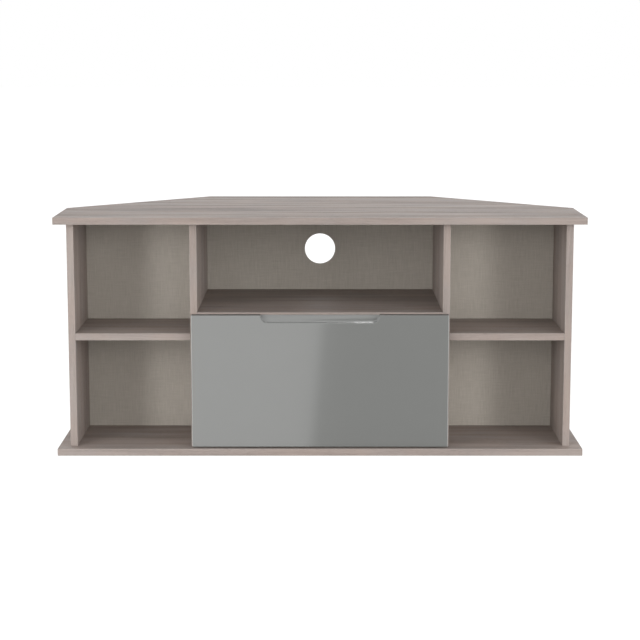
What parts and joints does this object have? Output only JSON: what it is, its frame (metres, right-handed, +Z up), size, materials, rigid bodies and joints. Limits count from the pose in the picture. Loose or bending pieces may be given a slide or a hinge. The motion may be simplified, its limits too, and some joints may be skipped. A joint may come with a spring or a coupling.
{
  "type": "media cabinet",
  "caption": "Corner media cabinet with open side compartments, a media slot with a cable hole, and a deep gloss-fronted drawer on roller runners.",
  "frame": {"origin": "on the floor, under the middle of the cabinet's bounding box", "axes": "+Z up, +X to the right as seen from the front, +Y towards the back; the front faces -Y"},
  "size_m": [1.12, 0.517, 0.51],
  "materials": {
    "oak_board": "grey-taupe oak-effect melamine with a satin grain",
    "linen_board": "hardboard with a linen-look paper face",
    "gloss_front": "grey high-gloss foil on board",
    "drawer_board": "plain light grey melamine",
    "zinc_steel": "bright zinc-plated sheet steel",
    "roller_plastic": "natural white nylon",
    "beech": "fluted beech",
    "cam_zinc": "die-cast zinc"
  },
  "bodies": {
    "carcass": {"top_board": "oak_board", "base_board": "oak_board", "left_end_panel": "oak_board", "right_end_panel": "oak_board", "left_divider": "oak_board", "right_divider": "oak_board", "left_shelf": "oak_board", "right_shelf": "oak_board", "centre_shelf": "oak_board", "left_back_panel": "linen_board", "right_back_panel": "linen_board", "centre_back_panel": "linen_board", "left_cabinet_runner": "zinc_steel", "right_cabinet_runner": "zinc_steel", "left_end_top_dowel_front": "beech", "left_end_top_dowel_rear": "beech", "left_divider_top_dowel_front": "beech", "left_divider_top_dowel_rear": "beech", "left_shelf_outer_dowel_front": "beech", "left_shelf_outer_dowel_rear": "beech", "left_shelf_inner_dowel_front": "beech", "left_shelf_inner_dowel_rear": "beech", "centre_shelf_left_dowel_front": "beech", "centre_shelf_left_dowel_rear": "beech", "right_end_top_dowel_front": "beech", "right_end_top_dowel_rear": "beech", "right_divider_top_dowel_front": "beech", "right_divider_top_dowel_rear": "beech", "right_shelf_outer_dowel_front": "beech", "right_shelf_outer_dowel_rear": "beech", "right_shelf_inner_dowel_front": "beech", "right_shelf_inner_dowel_rear": "beech", "centre_shelf_right_dowel_front": "beech", "centre_shelf_right_dowel_rear": "beech", "left_end_base_screw_front": "zinc_steel", "left_end_base_screw_rear": "zinc_steel", "left_divider_base_screw_front": "zinc_steel", "left_divider_base_screw_rear": "zinc_steel", "right_end_base_screw_front": "zinc_steel", "right_end_base_screw_rear": "zinc_steel", "right_divider_base_screw_front": "zinc_steel", "right_divider_base_screw_rear": "zinc_steel"},
    "drawer": {"drawer_front": "gloss_front", "drawer_left_side": "drawer_board", "drawer_right_side": "drawer_board", "drawer_back": "drawer_board", "drawer_bottom": "drawer_board", "drawer_left_cam_lower": "cam_zinc", "drawer_left_cam_upper": "cam_zinc", "drawer_right_cam_lower": "cam_zinc", "drawer_right_cam_upper": "cam_zinc", "left_drawer_runner": "zinc_steel", "right_drawer_runner": "zinc_steel"},
    "front_roller_left": {"left_front_roller": "roller_plastic"},
    "rear_roller_left": {"left_rear_roller": "roller_plastic"},
    "front_roller_right": {"right_front_roller": "roller_plastic"},
    "rear_roller_right": {"right_rear_roller": "roller_plastic"}
  },
  "joints": [
    {"name": "drawer_slide", "type": "slide", "parent": "carcass", "child": "drawer", "axis": [0, -1, 0], "range_m": [0, 0.26]},
    {"name": "left_front_roller_spin", "type": "hinge", "parent": "carcass", "child": "front_roller_left", "pos_m": [-0.256, -0.214, 0.0425], "axis": [1, 0, 0], "continuous": true},
    {"name": "left_rear_roller_spin", "type": "hinge", "parent": "drawer", "child": "rear_roller_left", "pos_m": [-0.25375, 0.107, 0.03925], "axis": [1, 0, 0], "continuous": true},
    {"name": "right_front_roller_spin", "type": "hinge", "parent": "carcass", "child": "front_roller_right", "pos_m": [0.256, -0.214, 0.0425], "axis": [1, 0, 0], "continuous": true},
    {"name": "right_rear_roller_spin", "type": "hinge", "parent": "drawer", "child": "rear_roller_right", "pos_m": [0.25375, 0.107, 0.03925], "axis": [1, 0, 0], "continuous": true}
  ],
  "couplings": [
    {"joint": "left_front_roller_spin", "follows": "drawer_slide", "rad_per_m": 111.11},
    {"joint": "left_rear_roller_spin", "follows": "drawer_slide", "rad_per_m": 111.11},
    {"joint": "right_front_roller_spin", "follows": "drawer_slide", "rad_per_m": 111.11},
    {"joint": "right_rear_roller_spin", "follows": "drawer_slide", "rad_per_m": 111.11}
  ]
}
